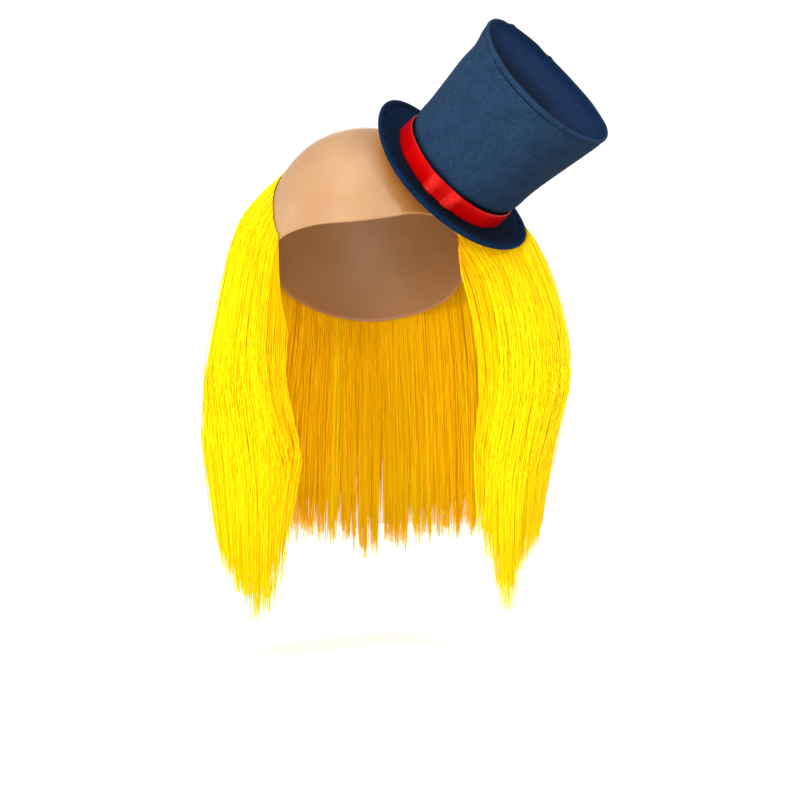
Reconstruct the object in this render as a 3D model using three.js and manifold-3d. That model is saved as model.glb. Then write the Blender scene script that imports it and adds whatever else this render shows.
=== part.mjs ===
// A clown wig: a rubber bald cap with long straight hair round its sides and back, and a
// small felt top hat sewn on over the wearer's left temple.
// Millimetres, +Z up, the face looks along -Y and the wearer's left is +X. The origin is
// where the top of the head meets the inside of the cap.
import * as THREE from "three";
import { mergeVertices } from "three/addons/utils/BufferGeometryUtils.js";
import Module from "manifold-3d";

const wasm = await Module();
wasm.setup();

// The head that the cap is made for, measured inside the cap
const headWidth = 163;
const headFront = 96; // from the middle of the head to the forehead
const headBack = 102; // from the middle of the head to the back of the skull
const headRise = 96; // from the widest level to the top
const headFall = 125; // from the widest level to the jaw
const headSquareness = 2.15; // 2 is a plain ellipsoid, more is fuller at the corners

// The bald cap
const capWall = 1.2;
const capDepth = 150; // from the top of the head down to the nape
const edgeBead = 0.8; // how much the forehead edge is thicker than the wall
const edgeBeadWidth = 4;

// The hair
const hairDrop = 383; // from the top of the head to the longest tip
const hairReachRight = 134; // the furthest out that each side swings
const hairReachLeft = 162;
const hairReachBack = 126;
const hairReachFront = 96;
const hairDepth = 24; // how thick the fall of hair is at the ears
const hairRootDepth = 2.4; // how thick it starts at the hairline
const hairLift = 40; // how far below the hairline it has swung clear of the head
const lockSpacing = 22; // from one lock to the next, at the widest level
const tipRaggedness = 0.03; // how much shorter some tips are, as a share of hairDrop
const backPart = 128; // the azimuth where each side ends and the back begins, in degrees
const sideShare = 0.3; // how much of the way round the tips each side takes

// The top hat
const crownBaseRadius = 50.3;
const crownTopRadius = 64.3;
const crownHeight = 116.5;
const crownWaist = 1.2; // how far the side curves in between base and top
const crownSlump = 9; // how far the soft top edge has sunk at the back
const feltThickness = 2.6;
const topInset = 4; // the top disc below the stitched edge
const topSag = 6; // the top disc sinks this far in its middle
const brimWidth = 26.5;
const brimSideCurl = 8; // how far the brim rises at its two sides
const brimFrontRise = 3; // how far it rises in front
const brimBackDrop = 3; // how far it droops behind
const brimThickness = 3;
const brimLip = 4.5; // how much of the crown's felt the brim runs under
const ribbonWidth = 15;
const ribbonThickness = 1;

// Where the hat sits: a point on its axis, and how it leans
const hatSide = 65;
const hatForward = 40;
const hatDrop = 41;
const hatTilt = 46.5; // towards the wearer's left, in degrees
const hatNod = 26; // forwards, in degrees

const clearance = 0.3; // between pieces that touch

const capColumns = 36;
const capRows = 10;
const hatColumns = 36;
const lockSides = 8;

// The cap's lower edge, round one side from the forehead to the nape. drop is a share of capDepth.
const capEdge = [
  { azimuth: 0, drop: 0.51 },
  { azimuth: 25, drop: 0.53 },
  { azimuth: 46, drop: 0.59 },
  { azimuth: 70, drop: 0.71 },
  { azimuth: 105, drop: 0.72 },
  { azimuth: 140, drop: 0.9 },
  { azimuth: 180, drop: 1 },
];

// Where the hair starts on the cap, round one side. drop is a share of headRise.
const hairline = [
  { azimuth: 46, drop: 0.93 },
  { azimuth: 53, drop: 0.9 },
  { azimuth: 65, drop: 0.66 },
  { azimuth: 75, drop: 0.51 },
  { azimuth: 90, drop: 0.38 },
  { azimuth: 110, drop: 0.29 },
  { azimuth: 145, drop: 0.29 },
  { azimuth: 180, drop: 0.31 },
];

// The fall of hair, level by level. drop is a share of hairDrop, and right, left, back and front
// are shares of the four reaches. rightEdge and leftEdge are the azimuths where the hair beside
// the face begins, and depth is a share of hairDepth.
const fall = [
  { drop: 0.06, right: 0.5, left: 0.45, back: 0.66, front: 0.62, rightEdge: 53, leftEdge: 53, depth: 0.4 },
  { drop: 0.14, right: 0.69, left: 0.64, back: 0.8, front: 0.76, rightEdge: 53, leftEdge: 53, depth: 0.7 },
  { drop: 0.22, right: 0.8, left: 0.81, back: 0.88, front: 0.81, rightEdge: 53, leftEdge: 53, depth: 0.95 },
  { drop: 0.32, right: 0.87, left: 0.92, back: 0.93, front: 0.83, rightEdge: 52, leftEdge: 56, depth: 1 },
  { drop: 0.44, right: 0.935, left: 1, back: 0.97, front: 0.85, rightEdge: 52, leftEdge: 58, depth: 1 },
  { drop: 0.54, right: 0.985, left: 0.97, back: 1, front: 0.88, rightEdge: 48, leftEdge: 57, depth: 0.9 },
  { drop: 0.66, right: 0.985, left: 0.9, back: 1, front: 0.93, rightEdge: 37, leftEdge: 52, depth: 0.8 },
  { drop: 0.8, right: 0.93, left: 0.87, back: 1, front: 0.98, rightEdge: 39, leftEdge: 50, depth: 0.7 },
  { drop: 1, right: 0.84, left: 0.8, back: 0.98, front: 1, rightEdge: 41, leftEdge: 54, depth: 0.6 },
];

// How low each lock's tip hangs, from the right cheek (0) round the back (0.5) to the left
// cheek (1). drop is a share of hairDrop.
const tips = [
  { around: 0, drop: 0.95 },
  { around: 0.045, drop: 1 },
  { around: 0.1, drop: 0.92 },
  { around: 0.22, drop: 0.82 },
  { around: 0.36, drop: 0.86 },
  { around: 0.5, drop: 0.9 },
  { around: 0.64, drop: 0.86 },
  { around: 0.78, drop: 0.82 },
  { around: 0.88, drop: 0.87 },
  { around: 0.92, drop: 0.91 },
  { around: 0.955, drop: 0.985 },
  { around: 0.98, drop: 0.88 },
  { around: 1, drop: 0.84 },
];

// One lock from its root (0) to its tip (1). wide is a share of its spacing and deep a share of
// the fall's depth there.
const lockShape = [
  { along: 0, wide: 1.5, deep: 1 },
  { along: 0.07, wide: 1.6, deep: 1 },
  { along: 0.16, wide: 1.6, deep: 1 },
  { along: 0.3, wide: 1.55, deep: 1 },
  { along: 0.5, wide: 1.5, deep: 1 },
  { along: 0.7, wide: 1.35, deep: 0.95 },
  { along: 0.86, wide: 1.1, deep: 0.8 },
  { along: 1, wide: 0.35, deep: 0.3 },
];

const radians = THREE.MathUtils.degToRad;

// A smooth curve through one column of a table
function curveOf(table, from, to) {
  const curve = new THREE.CubicInterpolant(
    table.map((row) => row[from]),
    table.map((row) => row[to]),
    1,
    [0],
  );
  const first = table[0][from];
  const last = table[table.length - 1][from];
  return (at) => curve.evaluate(THREE.MathUtils.clamp(at, first, last))[0];
}

const capEdgeDrop = curveOf(capEdge, "azimuth", "drop");
const hairlineDrop = curveOf(hairline, "azimuth", "drop");
const tipDrop = curveOf(tips, "around", "drop");
const fallShare = Object.fromEntries(
  ["right", "left", "back", "front", "rightEdge", "leftEdge", "depth"].map((column) => [
    column,
    curveOf(fall, "drop", column),
  ]),
);

// Azimuth 0 is the face, 90 the wearer's left and -90 the right.
function bearing(azimuth) {
  return { x: Math.sin(radians(azimuth)), y: -Math.cos(radians(azimuth)) };
}

// The radius of a superellipse with those reaches, in one direction
function ovalRadius(azimuth, side, front, back) {
  const { x, y } = bearing(azimuth);
  const along = y < 0 ? front : back;
  const sum = Math.abs(x / side) ** headSquareness + Math.abs(y / along) ** headSquareness;
  return sum ** (-1 / headSquareness);
}

// How much narrower the head is at a level below its top than at its widest
function headShare(drop) {
  const from = headRise - drop;
  const height = from > 0 ? headRise : headFall;
  return Math.max(0, 1 - Math.abs(from / height) ** headSquareness) ** (1 / headSquareness);
}

// The head's three half-sizes in the part of it that a point is in
function headReach(point) {
  return [
    headWidth / 2,
    point.y < 0 ? headFront : headBack,
    point.z > -headRise ? headRise : headFall,
  ];
}

// The head's surface, moved out along its normal
function headPoint(azimuth, drop, out) {
  const radius = ovalRadius(azimuth, headWidth / 2, headFront, headBack) * headShare(drop);
  const { x, y } = bearing(azimuth);
  const point = new THREE.Vector3(x * radius, y * radius, -drop);
  const reach = headReach(point);
  const normal = [point.x, point.y, headRise - drop].map(
    (at, axis) => (Math.sign(at) * Math.abs(at / reach[axis]) ** (headSquareness - 1)) / reach[axis],
  );
  return point.addScaledVector(new THREE.Vector3(...normal).normalize(), out);
}

// How far out from the middle of the head the cap's surface is at a level
function capRadius(azimuth, drop) {
  return ovalRadius(azimuth, headWidth / 2, headFront, headBack) * headShare(drop) + capWall;
}

// Drops that run evenly over the head's surface from its top to a lowest one
function headDrops(lowest, rows) {
  const turn = Math.acos(
    lowest < headRise ? 1 - lowest / headRise : (headRise - lowest) / headFall,
  );
  return Array.from({ length: rows + 1 }, (_, row) => {
    const up = Math.cos((turn * row) / rows);
    return headRise - up * (up > 0 ? headRise : headFall);
  });
}

// A closed body swept round +Z. sectionAt(azimuth) gives its closed outline in that direction,
// with as many points each time, going out over the top and back underneath.
function sweptRound(sectionAt, columns) {
  const sections = Array.from({ length: columns }, (_, column) =>
    sectionAt((360 * column) / columns),
  );
  const rows = sections[0].length;
  const positions = sections.flatMap((section) => section.flatMap((p) => [p.x, p.y, p.z]));
  const faces = [];
  for (let column = 0; column < columns; column++) {
    for (let row = 0; row < rows; row++) {
      const next = ((column + 1) % columns) * rows;
      const here = column * rows;
      const below = (row + 1) % rows;
      faces.push(here + row, here + below, next + row);
      faces.push(next + row, here + below, next + below);
    }
  }
  return closedGeometry(positions, faces);
}

// A geometry with its doubled points merged and the faces that this flattens left out
function closedGeometry(positions, faces) {
  const loose = new THREE.BufferGeometry();
  loose.setAttribute("position", new THREE.Float32BufferAttribute(positions, 3));
  loose.setIndex(faces);
  const merged = mergeVertices(loose, 1e-3);
  const index = Array.from(merged.index.array);
  const kept = [];
  for (let i = 0; i < index.length; i += 3) {
    const [a, b, c] = index.slice(i, i + 3);
    if (a !== b && b !== c && c !== a) kept.push(a, b, c);
  }
  merged.setIndex(kept);
  return merged;
}

// A closed body through a stack of outlines, from the first to the last
function stacked(outlines) {
  const sides = outlines[0].length;
  const positions = outlines.flatMap((outline) => outline.flatMap((p) => [p.x, p.y, p.z]));
  const faces = [];
  for (let level = 0; level + 1 < outlines.length; level++) {
    for (let side = 0; side < sides; side++) {
      const here = level * sides;
      const next = (side + 1) % sides;
      faces.push(here + side, here + next, here + sides + side);
      faces.push(here + next, here + sides + next, here + sides + side);
    }
  }
  const last = (outlines.length - 1) * sides;
  for (let side = 1; side + 1 < sides; side++) {
    faces.push(0, side + 1, side);
    faces.push(last, last + side, last + side + 1);
  }
  return closedGeometry(positions, faces);
}

function solidOf(geometry) {
  return new wasm.Manifold(
    new wasm.Mesh({
      numProp: 3,
      vertProperties: new Float32Array(geometry.getAttribute("position").array),
      triVerts: new Uint32Array(geometry.index.array),
    }),
  );
}

function geometryOf(solid) {
  const { vertProperties, triVerts } = solid.getMesh();
  const geometry = new THREE.BufferGeometry();
  geometry.setAttribute("position", new THREE.BufferAttribute(new Float32Array(vertProperties), 3));
  geometry.setIndex(Array.from(triVerts));
  return geometry;
}

// The angle from the face, whichever side
function fromFace(azimuth) {
  return Math.abs(((((azimuth + 180) % 360) + 360) % 360) - 180);
}

// The cap's thickness along its edge: beaded over the forehead, plain behind
function edgeThickness(azimuth) {
  return capWall + edgeBead * Math.max(0, Math.cos(radians(fromFace(azimuth) * 1.6)));
}

// The bald cap: a thin shell over the skull, with a bead along its forehead edge
function baldCap() {
  return sweptRound((azimuth) => {
    const lowest = capDepth * capEdgeDrop(fromFace(azimuth));
    const drops = headDrops(lowest - edgeBeadWidth, capRows);
    const bead = edgeThickness(azimuth);
    return [
      ...drops.map((drop) => headPoint(azimuth, drop, capWall)),
      headPoint(azimuth, lowest - edgeBeadWidth / 2, bead),
      headPoint(azimuth, lowest, bead),
      headPoint(azimuth, lowest, 0),
      ...drops.reverse().map((drop) => headPoint(azimuth, drop, 0)),
    ];
  }, capColumns);
}

// The space that the hair keeps out of: the head with its cap on
function headSpace() {
  return sweptRound(
    (azimuth) =>
      headDrops(headRise + headFall, 2 * capRows).map((drop) =>
        headPoint(azimuth, drop, edgeThickness(azimuth) + clearance),
      ),
    capColumns,
  );
}

// How far out the hair's outer face is at an azimuth and level
function hairRadius(azimuth, drop) {
  const level = drop / hairDrop;
  const { x } = bearing(azimuth);
  return ovalRadius(
    azimuth,
    x < 0 ? hairReachRight * fallShare.right(level) : hairReachLeft * fallShare.left(level),
    hairReachFront * fallShare.front(level),
    hairReachBack * fallShare.back(level),
  );
}

// One lock as a stack of level outlines. azimuthAt(level) gives where it hangs at each level,
// and spacingAt(level) the room it has, in degrees.
function lock(azimuthAt, spacingAt, tip) {
  const root = headRise * hairlineDrop(fromFace(azimuthAt(0)));
  return stacked(
    lockShape.map(({ along, wide, deep }) => {
      const drop = THREE.MathUtils.lerp(root, tip, along);
      const level = drop / hairDrop;
      const azimuth = azimuthAt(level);
      const { x, y } = bearing(azimuth);
      const free = 1 - (1 - Math.min(1, (drop - root) / hairLift)) ** 2;
      const rooted = capRadius(azimuth, drop) + hairRootDepth;
      const outer = rooted + Math.max(0, hairRadius(azimuth, drop) - rooted) * free;
      const thick = Math.min(hairDepth * fallShare.depth(level), outer - rooted + 2 * hairRootDepth);
      const middle = outer - (thick * deep) / 2;
      const halfWide = (radians(spacingAt(level)) * outer * wide) / 2;
      return Array.from({ length: lockSides }, (_, side) => {
        const turn = (2 * Math.PI * side) / lockSides;
        const across = Math.cos(turn) * halfWide;
        const out = middle + (Math.sin(turn) * thick * deep) / 2;
        return new THREE.Vector3(x * out - y * across, y * out + x * across, -drop);
      });
    }),
  );
}

// A wedge of space between two azimuths, a little smaller than it, so that neighbours don't touch
function wedge(from, to) {
  const middle = bearing((from + to) / 2);
  const shift = clearance / 2 / Math.sin(radians((to - from) / 2));
  const beyond = 3 * hairReachLeft;
  const steps = 6;
  const outline = new THREE.Shape();
  outline.moveTo(0, 0);
  for (let step = 0; step <= steps; step++) {
    const { x, y } = bearing(THREE.MathUtils.lerp(from, to, step / steps));
    outline.lineTo(x * beyond, y * beyond);
  }
  const geometry = new THREE.ExtrudeGeometry(outline, { depth: 2 * hairDrop, bevelEnabled: false });
  geometry.translate(middle.x * shift, middle.y * shift, -1.5 * hairDrop);
  geometry.deleteAttribute("normal");
  geometry.deleteAttribute("uv");
  return solidOf(mergeVertices(geometry, 1e-3));
}

// A panel of hair, cut off at two azimuths. first and last give the azimuths of its two sides
// at each level, and around says where its first and last tips are in the table of tips.
function hairPanel({ cut, first, last, around }, keepOut) {
  const [from, to] = cut;
  const widest = hairRadius((from + to) / 2, hairDrop / 2);
  const count = Math.round((radians(to - from) * widest) / lockSpacing);
  const spacingAt = (level) => (last(level) - first(level)) / count;
  const locks = Array.from({ length: count }, (_, i) => {
    const share = (i + 0.5) / count;
    const azimuthAt = (level) => THREE.MathUtils.lerp(first(level), last(level), share);
    const shorter = tipRaggedness * Math.max(0, Math.sin(2.4 * i));
    const tip = tipDrop(THREE.MathUtils.lerp(...around, share)) - shorter;
    return solidOf(lock(azimuthAt, spacingAt, hairDrop * tip));
  });
  const hair = locks.reduce((all, one) => all.add(one));
  return hair.subtract(keepOut).intersect(wedge(from, to));
}

const brimInner = crownBaseRadius - brimLip;
const brimOuter = crownBaseRadius + brimWidth;

// How high the brim has risen, across it from the crown (0) to the rim (1)
function brimRise(azimuth, across) {
  const { x, y } = bearing(azimuth);
  const frontOrBack = y < 0 ? brimFrontRise : -brimBackDrop;
  return (x ** 2 * brimSideCurl + y ** 2 * frontOrBack) * across ** 1.7;
}

// A point of the brim, across it from the hole (0) to the rim (1), above or below its middle layer
function brimPoint(azimuth, across, up) {
  const { x, y } = bearing(azimuth);
  const radius = THREE.MathUtils.lerp(brimInner, brimOuter, across);
  const free = Math.max(0, (radius - crownBaseRadius) / brimWidth);
  return new THREE.Vector3(x * radius, y * radius, -brimThickness / 2 + brimRise(azimuth, free) + up);
}

function hatBrim() {
  const half = brimThickness / 2;
  const across = [0, 0.15, 0.45, 0.75, 0.95];
  return sweptRound(
    (azimuth) => [
      ...across.map((share) => brimPoint(azimuth, share, half)),
      brimPoint(azimuth, 1, half * 0.45),
      brimPoint(azimuth, 1, -half * 0.45),
      ...across.toReversed().map((share) => brimPoint(azimuth, share, -half)),
    ],
    hatColumns,
  );
}

// The crown's outer radius at a share of its height
function crownRadius(share) {
  return (
    THREE.MathUtils.lerp(crownBaseRadius, crownTopRadius, share) -
    crownWaist * Math.sin(Math.PI * share)
  );
}

// How high the crown's top edge stands: it's soft, and lower at the back
function crownEdge(azimuth) {
  const behind = (1 - Math.cos(radians(azimuth))) / 2;
  return crownHeight - crownSlump * behind ** 3;
}

function crownPoint(azimuth, share, inward) {
  const { x, y } = bearing(azimuth);
  const radius = crownRadius(share) - inward;
  const base = clearance;
  return new THREE.Vector3(x * radius, y * radius, base + share * (crownEdge(azimuth) - base));
}

function hatCrown() {
  const shares = [0, 0.2, 0.5, 0.8, 1];
  return sweptRound(
    (azimuth) => [
      ...shares.toReversed().map((share) => crownPoint(azimuth, share, 0)),
      ...shares.map((share) => crownPoint(azimuth, share, feltThickness)),
    ],
    hatColumns,
  );
}

// The top disc, seated inside the crown a little below its stitched edge
function hatTop() {
  const share = (azimuth) => 1 - topInset / crownEdge(azimuth);
  const rings = [0, 0.45, 0.8, 1];
  return sweptRound((azimuth) => {
    const { x, y } = bearing(azimuth);
    const rim = crownPoint(azimuth, share(azimuth), feltThickness + clearance);
    const flare = (crownTopRadius - crownBaseRadius) / crownHeight;
    const reach = Math.hypot(rim.x, rim.y) - feltThickness * flare;
    const at = (ring, up) => {
      const middle = crownHeight - topInset - topSag;
      const height = THREE.MathUtils.lerp(middle, rim.z, ring ** 2) + up;
      return new THREE.Vector3(x * reach * ring, y * reach * ring, height);
    };
    return [
      ...rings.map((ring) => at(ring, 0)),
      ...rings.toReversed().map((ring) => at(ring, -feltThickness)),
    ];
  }, hatColumns);
}

// The ribbon round the foot of the crown
function hatRibbon() {
  const foot = clearance;
  const shares = [foot, foot + ribbonWidth / 2, foot + ribbonWidth].map((z) => z / crownHeight);
  const point = (azimuth, share, out) => {
    const { x, y } = bearing(azimuth);
    const radius = crownRadius(share) + out;
    return new THREE.Vector3(x * radius, y * radius, share * crownHeight);
  };
  return sweptRound(
    (azimuth) => [
      ...shares.toReversed().map((share) => point(azimuth, share, clearance + ribbonThickness)),
      ...shares.map((share) => point(azimuth, share, clearance)),
    ],
    hatColumns,
  );
}

// All that the hat covers, which the hair stays out of: from under the brim up past the crown
function hatSpace() {
  const under = -brimThickness / 2 - clearance;
  const across = [0, 0.15, 0.45, 0.75, 1];
  return sweptRound((azimuth) => {
    const { x, y } = bearing(azimuth);
    const rim = brimOuter + clearance;
    return [
      new THREE.Vector3(0, 0, crownHeight),
      new THREE.Vector3(x * rim, y * rim, crownHeight),
      brimPoint(azimuth, 1, under).add(new THREE.Vector3(x * clearance, y * clearance, 0)),
      ...across.toReversed().map((share) => brimPoint(azimuth, share, under)),
      new THREE.Vector3(0, 0, -brimThickness / 2 + under),
    ];
  }, hatColumns);
}

// True where a point is clear of the cap
function clearOfCap(point) {
  const reach = headReach(point).map((half) => half + capWall + clearance);
  const from = [point.x, point.y, point.z + headRise];
  return from.reduce((sum, at, axis) => sum + Math.abs(at / reach[axis]) ** headSquareness, 0) > 1;
}

// The hat's frame: leaned over, then slid down its own axis until its brim rests on the cap
function seatedHat() {
  const hat = new THREE.Group();
  hat.rotation.set(radians(hatNod), radians(hatTilt), 0, "YXZ");
  const axis = new THREE.Vector3(0, 0, 1).applyEuler(hat.rotation);
  const underside = [];
  for (let column = 0; column < 2 * hatColumns; column++) {
    for (const across of [0, 0.1, 0.2, 0.4, 0.6, 0.8, 1]) {
      underside.push(
        brimPoint((180 * column) / hatColumns, across, -brimThickness / 2).applyEuler(hat.rotation),
      );
    }
  }
  const start = new THREE.Vector3(hatSide, -hatForward, -hatDrop);
  let low = -headRise;
  let high = headRise;
  for (let step = 0; step < 24; step++) {
    const slide = (low + high) / 2;
    const place = start.clone().addScaledVector(axis, slide);
    if (underside.every((point) => clearOfCap(point.clone().add(place)))) high = slide;
    else low = slide;
  }
  hat.position.copy(start).addScaledVector(axis, high);
  hat.updateMatrixWorld(true);
  return hat;
}

const finishes = {
  rubber: { color: 0xe9b27f, roughness: 0.55, metalness: 0 },
  hair: { color: 0xf7d60c, roughness: 0.45, metalness: 0 },
  felt: { color: 0x22344d, roughness: 0.95, metalness: 0 },
  feltBrim: { color: 0x091326, roughness: 0.95, metalness: 0 },
  satin: { color: 0xc60a10, roughness: 0.3, metalness: 0 },
};

function piece(name, geometry, finish) {
  const mesh = new THREE.Mesh(geometry, new THREE.MeshStandardMaterial(finishes[finish]));
  mesh.geometry.computeVertexNormals();
  mesh.name = name;
  return mesh;
}

const hat = seatedHat();
const keepOut = solidOf(headSpace()).add(solidOf(hatSpace().applyMatrix4(hat.matrixWorld)));

const hairPanels = {
  hair_right: {
    cut: [-backPart, 0],
    first: () => -backPart,
    last: (level) => -fallShare.rightEdge(level),
    around: [sideShare, 0],
  },
  hair_back: {
    cut: [backPart, 360 - backPart],
    first: () => backPart,
    last: () => 360 - backPart,
    around: [1 - sideShare, sideShare],
  },
  hair_left: {
    cut: [0, backPart],
    first: fallShare.leftEdge,
    last: () => backPart,
    around: [1, 1 - sideShare],
  },
};

const wig = new THREE.Group();
wig.add(piece("bald_cap", baldCap(), "rubber"));
for (const [name, panel] of Object.entries(hairPanels)) {
  wig.add(piece(name, geometryOf(hairPanel(panel, keepOut)), "hair"));
}
hat.add(
  piece("hat_brim", hatBrim(), "feltBrim"),
  piece("hat_crown", hatCrown(), "felt"),
  piece("hat_top", hatTop(), "felt"),
  piece("hat_ribbon", hatRibbon(), "satin"),
);
wig.add(hat);

export default wig;
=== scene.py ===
import math

import bmesh
import bpy
import numpy as np
from mathutils import Matrix, Vector


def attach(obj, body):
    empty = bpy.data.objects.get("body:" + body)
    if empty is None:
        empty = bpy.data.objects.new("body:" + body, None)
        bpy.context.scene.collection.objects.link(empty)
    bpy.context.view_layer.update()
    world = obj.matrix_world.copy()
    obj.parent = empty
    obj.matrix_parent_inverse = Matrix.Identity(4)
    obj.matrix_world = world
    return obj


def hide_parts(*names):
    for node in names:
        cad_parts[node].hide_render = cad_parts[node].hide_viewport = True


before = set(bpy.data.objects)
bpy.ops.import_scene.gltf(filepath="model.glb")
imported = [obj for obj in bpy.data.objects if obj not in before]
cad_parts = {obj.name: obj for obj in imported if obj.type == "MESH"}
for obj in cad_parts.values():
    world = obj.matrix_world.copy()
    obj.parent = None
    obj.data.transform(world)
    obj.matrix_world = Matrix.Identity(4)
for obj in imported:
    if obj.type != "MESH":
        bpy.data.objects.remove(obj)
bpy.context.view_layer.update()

# Lengths are millimetres, turned to metres where a mesh is made. The wig's front is along -Y and
# its left side, as worn, along +X. The origin is the highest point of the cap's inside.
MM = 0.001
SEED = 11

# The wig block that the cap is made on: how far it reaches to each side, to the front and back,
# and above and below its widest level
BLOCK_SIDE = 81.5
BLOCK_FRONT = 96
BLOCK_BACK = 102
BLOCK_RISE = 96
BLOCK_FALL = 125
BLOCK_SQUARENESS = 2.15

# The bald cap: its wall, the bead rolled along its edge and the faint crease above that
CAP_WALL = 1.2
CAP_DEPTH = 150
EDGE_BEAD = 0.8
BEAD_UP = 1.3
BEAD_HALF = 1.5
CREASE_UP = 9
CREASE_HALF = 5
CREASE_RISE = 0.21
CAP_EDGE = {
    "azimuth": (-25, 0, 25, 46, 70, 105, 140, 180, 220),
    "drop": (0.53, 0.51, 0.53, 0.59, 0.71, 0.72, 0.9, 1, 0.9),
}
# How much lower the cap's edge is at each azimuth, because the cap is worn a little askew
CAP_ASKEW = {
    "azimuth": (-180, -50, -25, -5, 10, 22, 38, 55, 80, 180),
    "lower": (0, 0, 2, 2.5, -1, -6, -9, -6, 0, 0),
}
# Painted shadow of the brim on the cap: how strongly it is painted, from how far inside the brim's edge,
# the width it fades out over, and how far below the hat's seat it reaches
BRIM_SHADE_STRENGTH = 0.8
BRIM_SHADE_INSIDE = 16
BRIM_SHADE_FADE = 10
BRIM_SHADE_BELOW_SEAT = 70

# The fall of hair, level by level, as shares of its named reaches
HAIR_DROP = 383
HAIR_REACH = {"right": 134, "left": 162, "back": 126, "front": 96}
HAIR_DEPTH = 24
HAIR_ROOT_DEPTH = 2.4
HAIR_LIFT = 40
STRAND_LIFT = 14
SKIN_GAP = 1
BACK_PART = 128
PANEL_LAP = 2.5
HAIRLINE = {
    "azimuth": (46, 53, 65, 75, 90, 110, 145, 180),
    "drop": (0.93, 0.9, 0.66, 0.51, 0.38, 0.29, 0.29, 0.31),
}
FALL = {
    "drop": (0.06, 0.14, 0.22, 0.32, 0.44, 0.54, 0.66, 0.8, 1),
    "right": (0.5, 0.69, 0.8, 0.87, 0.935, 0.985, 0.985, 0.93, 0.84),
    "left": (0.45, 0.64, 0.81, 0.92, 0.99, 1, 0.915, 0.87, 0.8),
    "back": (0.66, 0.8, 0.88, 0.93, 0.97, 1, 1, 1, 0.98),
    "front": (0.62, 0.76, 0.81, 0.83, 0.85, 0.88, 0.93, 0.98, 1),
    "right_edge": (53, 51, 49.5, 50, 51.5, 48, 37, 39, 41),
    "left_edge": (53, 52, 51, 55, 58, 57, 52, 50, 54),
    "depth": (0.4, 0.7, 0.95, 1, 1, 0.9, 0.8, 0.7, 0.6),
}
# How far down the locks end, from the front of the right panel, round the back, to the left one's
TIPS = {
    "around": (
        *(0, 0.02, 0.04, 0.06, 0.08, 0.1, 0.14, 0.22, 0.36, 0.5),
        *(0.64, 0.78, 0.87, 0.925, 0.945, 0.965, 0.985, 1),
    ),
    "drop": (
        *(0.95, 0.985, 1, 1, 0.97, 0.93, 0.89, 0.83, 0.86, 0.9),
        *(0.86, 0.83, 0.86, 0.91, 0.98, 0.98, 0.9, 0.86),
    ),
}

# The top hat, in a frame of its own with its axis along +Z and the brim's seat at 0
HAT_SEAT = (64.62, -39.74, -41.36)
HAT_TILT = 46.5
HAT_NOD = 26
CROWN_BASE = 50.3
CROWN_TOP = 64.3
CROWN_HEIGHT = 116.5
CROWN_WAIST = 1.2
CROWN_SLUMP = 9
FELT = 2.6
TOP_INSET = 4
TOP_SAG = 6
BRIM_INNER = 45.8
BRIM_WIDTH = 26.5
BRIM_SIDE_CURL = 8
BRIM_FRONT_RISE = 3
BRIM_BACK_DROP = 3
BRIM_THICKNESS = 3
RIBBON_WIDTH = 15
CLEARANCE = 0.3

# Soft unevenness of the hat: the share of the crown's height where its rim folds over, how far
# under the rim its seam runs, how far the brim's edge droops, and the rim's puckers (azimuth,
# half-width in degrees, rise)
RIM_SHARE = 0.985
RIM_SEAM = 5
BRIM_DROOP = 1.6
RIM_PUCKERS = ((-125, 2.5, 0.9), (-118, 3, -0.6), (-167, 1.5, 1.0), (-161, 4, -0.6), (66, 4, 0.5))
# The stitches under the rim: how far apart they start, how long one is and the thread's radius
STITCH_PITCH = 3.9
STITCH_LENGTH = 2.9
THREAD_RADIUS = 0.42

# How far round from the front the ribbon bends most, in millimetres, and its creases (azimuth,
# half-width in degrees, slant in degrees, rise, and how much further out the lower edge stands)
RIBBON_BENDS = (-3.5, 15.5)
RIBBON_CREASES = (
    (-152, 8, 6, 0.5, 0.4),
    (-112, 9, -5, 0.2, 0),
    (-84, 8, 4, 0.8, 1.1),
    (-38, 9, -6, 0.3, 0.3),
    (-4, 7, 6, 0.4, 2.4),
    (18, 6.5, -7, 0.4, 2.5),
    (55, 10, 5, 0.3, 0.4),
    (92, 7, -5, 0.5, 0.8),
    (132, 9, 4, 0.5, 0.5),
)

# Strands in each batch of hair, and the locks, and wisps in each lock, that they gather into
HAIR_COUNT = 4500
HAIR_LOCKS = 34
LOCK_WISPS = 5
FIBRE_RADIUS = 0.3
# Where along itself a strand has its points
STRAND_STEPS = (0, 0.06, 0.14, 0.24, 0.36, 0.52, 0.74, 1)
# From where along itself a strand leans to its lock, then to its wisp, and how far
LOCK_FROM = 0.42
WISP_FROM = 0.6
WISP_PULL = 0.75
LAYER_PULL = 0.5
TIP_THINNING = 0.3
# How much sooner some strands end: whole locks and wisps as shares of the drop, single ones in mm
LOCK_RAGGED = 0.03
WISP_RAGGED = 0.07
BACK_RAGGED = 1.6
STRAND_RAGGED = 75
STRAND_EXTRA = 7
# Loose strands: how many there are, and how far their tips stand off
STRAY_SHARE = 0.022
STRAY_OUT = (1, 5)

# The camera, and the floor under the tips of the hair
CAMERA_PLACE = (25.6, -2130, -216)
CAMERA_LENS = 119.8
FLOOR_DROP = 415

# In metres: half the floor's side, where it starts and ends to fade, and the lights, each with
# its place, its width and its watts
FLOOR_HALF = 3.0
FLOOR_FADE = (0.7, 2.4)
LIT_MIDDLE = (0.02, 0, -0.15)
LIGHTS = {
    "left_key": ((-1.2, -1.95, 0.35), 0.9, 24),
    "right_key": ((1.1, -1.9, 0.75), 0.5, 13),
    "low_fill": ((0.3, -2.4, -0.25), 1.3, 18),
    "top_light": ((-0.6, -0.7, 1.95), 1.4, 27),
    "left_fill": ((-2.0, 0.4, 0.3), 1.3, 8),
    "right_fill": ((2.0, 0.4, 0.3), 1.3, 12),
    "back_light": ((0.1, 2.1, 0.15), 1.3, 28),
}
ROOM_LIGHT = 0.7
ROOM_SEEN = 1.02

rng = np.random.default_rng(SEED)


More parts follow.
